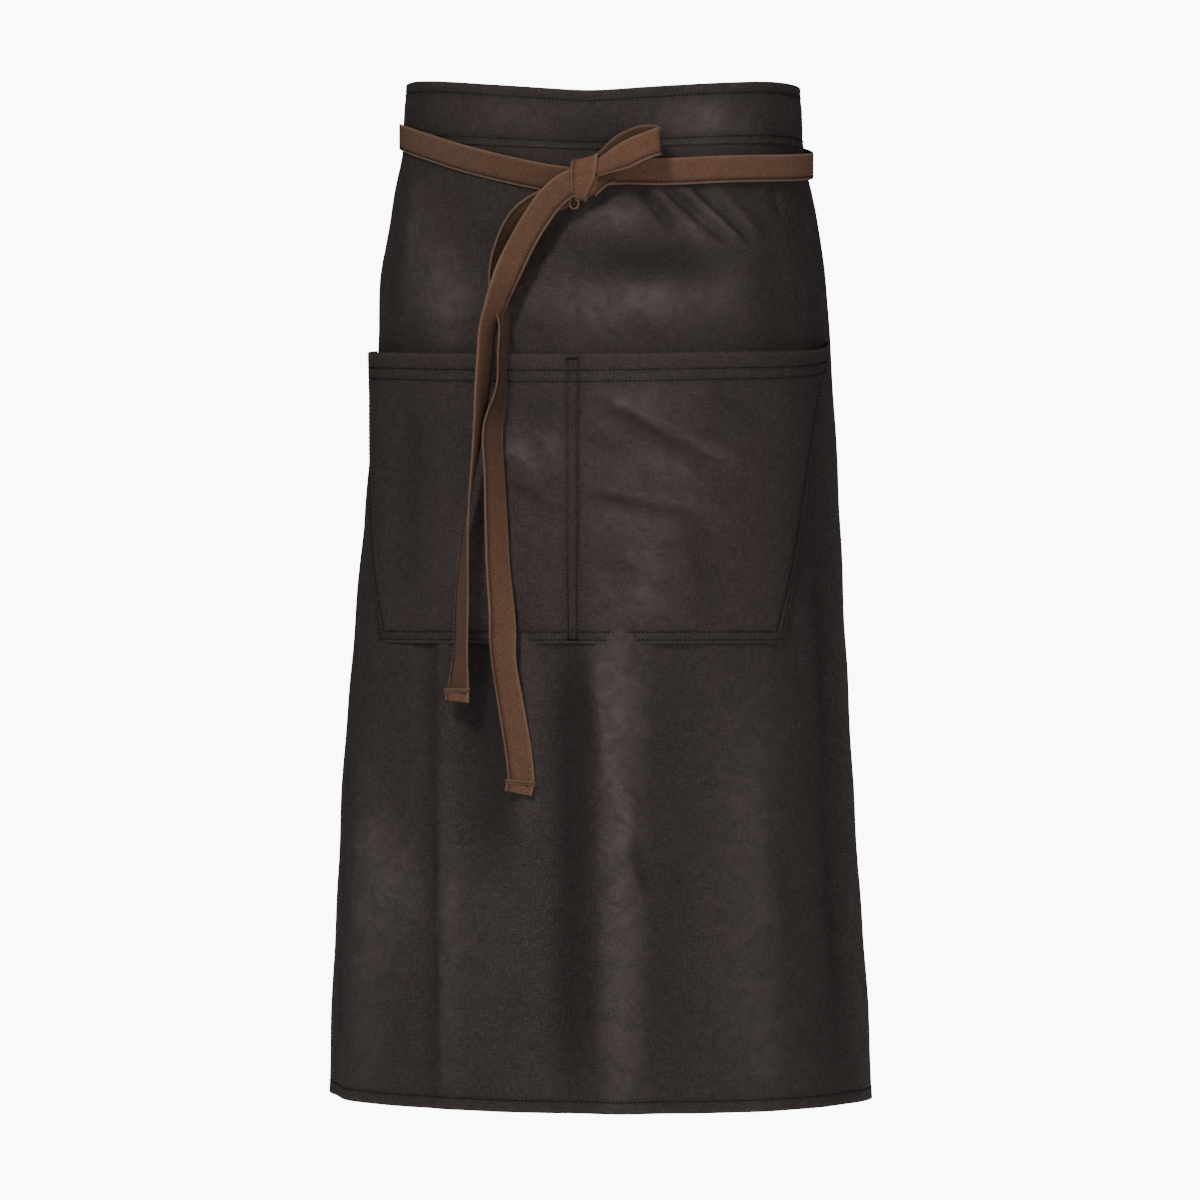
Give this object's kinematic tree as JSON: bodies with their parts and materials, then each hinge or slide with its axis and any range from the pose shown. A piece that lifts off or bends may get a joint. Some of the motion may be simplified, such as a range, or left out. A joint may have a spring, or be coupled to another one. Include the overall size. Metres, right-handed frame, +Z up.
{
  "type": "waist apron",
  "caption": "Long wrap-around waist apron in dark waxed cloth with a stitched double pocket across the front and narrow ties knotted in a half bow.",
  "frame": {"origin": "middle of the waist at the height of the ties, on the wearer's axis", "axes": "+Z up along the wearer, -Y to the wearer's front, +X to the viewer's right"},
  "size_m": [0.4432, 0.3138, 0.834],
  "materials": {
    "apron_cloth": "waxed linen-look canvas, very dark brown, faint slubs and dull waxy sheen",
    "pocket_cloth": "the same waxed canvas, slightly lighter where it is rubbed",
    "tie_cloth": "brown twill strip with lighter rubbed edges",
    "dark_thread": "dark waxed sewing thread",
    "tie_thread": "brown sewing thread"
  },
  "bodies": {
    "apron": {"skirt_panel": "apron_cloth", "waistband": "apron_cloth", "waistband_top_stitching": "dark_thread", "waistband_lower_stitching": "dark_thread", "skirt_hem_stitching": "dark_thread", "skirt_side_stitching": "dark_thread", "pocket_panel": "pocket_cloth", "pocket_mouth_stitching": "dark_thread", "pocket_edge_stitching": "dark_thread", "pocket_divider_stitching": "dark_thread", "pocket_bar_tacks": "dark_thread", "left_tie_waist_strap": "tie_cloth", "left_tie_edge_stitching": "tie_thread", "right_tie_waist_strap": "tie_cloth", "right_tie_edge_stitching": "tie_thread", "tie_anchor_stitching": "tie_thread", "tie_knot": "tie_cloth"},
    "bow_loop": {"bow_loop": "tie_cloth", "bow_loop_stitching": "tie_thread"},
    "long_tail_upper": {"long_tail_upper": "tie_cloth", "long_tail_upper_stitching": "tie_thread"},
    "long_tail_lower": {"long_tail_lower": "tie_cloth", "long_tail_lower_stitching": "tie_thread"},
    "short_tail_upper": {"short_tail_upper": "tie_cloth", "short_tail_upper_stitching": "tie_thread"},
    "short_tail_lower": {"short_tail_lower": "tie_cloth", "short_tail_lower_stitching": "tie_thread"}
  },
  "joints": [
    {"name": "bow_loop_tilt", "type": "hinge", "parent": "apron", "child": "bow_loop", "pos_m": [0.024, -0.141, -0.014], "axis": [0, -1, 0], "range_deg": [-20, 12]},
    {"name": "long_tail_lift", "type": "hinge", "parent": "apron", "child": "long_tail_upper", "pos_m": [-0.0026, -0.1385, -0.024], "axis": [-1, 0, 0], "range_deg": [0, 45]},
    {"name": "long_tail_bend", "type": "hinge", "parent": "long_tail_upper", "child": "long_tail_lower", "pos_m": [-0.0617, -0.1616, -0.2983], "axis": [-0.9654, 0.2607, 0], "range_deg": [0, 40]},
    {"name": "short_tail_lift", "type": "hinge", "parent": "long_tail_upper", "child": "short_tail_upper", "pos_m": [-0.0026, -0.1455, -0.018], "axis": [-1, 0, 0], "range_deg": [0, 25]},
    {"name": "short_tail_bend", "type": "hinge", "parent": "short_tail_upper", "child": "short_tail_lower", "pos_m": [-0.0634, -0.1668, -0.1663], "axis": [-0.9948, -0.1015, 0], "range_deg": [0, 40]}
  ]
}
